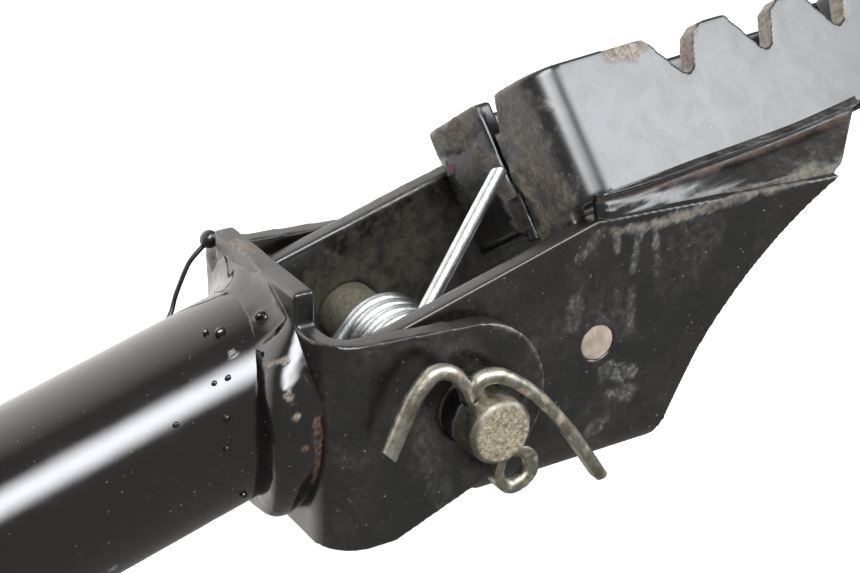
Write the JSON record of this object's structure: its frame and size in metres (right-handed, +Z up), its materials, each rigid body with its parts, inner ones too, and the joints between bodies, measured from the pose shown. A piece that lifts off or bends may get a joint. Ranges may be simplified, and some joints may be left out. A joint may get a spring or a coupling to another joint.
{
  "type": "folding motorcycle footpeg on a tube arm",
  "caption": "Serrated steel footpeg that folds up on a clevis pin with a split pin and a coil return spring, carried on a welded tube arm with a bolt-on flange.",
  "frame": {"origin": "centre of the mounting flange's outer face, on the tube's axis", "axes": "+X along the tube towards the peg, +Y along the hinge pin towards its head, +Z up"},
  "size_m": [0.2762, 0.0684, 0.074],
  "materials": {
    "arm_paint": "semi-gloss black enamel",
    "peg_paint": "worn semi-gloss black enamel, dusty, bare at the tooth tips",
    "weld_bead": "glossy black over rippled weld bead, mud in the toes",
    "whisker_wire": "satin black",
    "pin_zinc": "dull, yellowed zinc plate",
    "cotter_steel": "worn zinc plate",
    "spring_zinc": "bright zinc plate"
  },
  "bodies": {
    "arm": {"mount_flange": "arm_paint", "flange_weld": "weld_bead", "support_tube": "arm_paint", "clevis": "arm_paint", "clevis_weld": "weld_bead", "weld_spatter": "weld_bead", "wire_whisker": "whisker_wire"},
    "pin": {"clevis_pin": "pin_zinc", "pin_washer": "pin_zinc", "cotter_pin": "cotter_steel"},
    "peg": {"peg_bracket": "peg_paint", "bracket_lip": "peg_paint", "tread_near_strip": "peg_paint", "tread_far_strip": "peg_paint", "tread_cross_rib": "peg_paint", "tread_near_weld": "weld_bead", "tread_far_weld": "weld_bead", "inner_seam_weld": "weld_bead", "tip_seam_weld": "weld_bead", "rib_welds": "weld_bead", "return_spring": "spring_zinc"}
  },
  "joints": [
    {"name": "peg_fold", "type": "hinge", "parent": "arm", "child": "peg", "pos_m": [0.165, 0, -0.0063], "axis": [0, -1, 0], "range_deg": [0, 75], "stiffness_Nm_per_rad": 0.35, "springref_deg": -34.38, "deforming": ["return_spring"]},
    {"name": "pin_turn", "type": "hinge", "parent": "arm", "child": "pin", "pos_m": [0.165, 0, -0.0063], "axis": [0, 1, 0], "continuous": true}
  ]
}
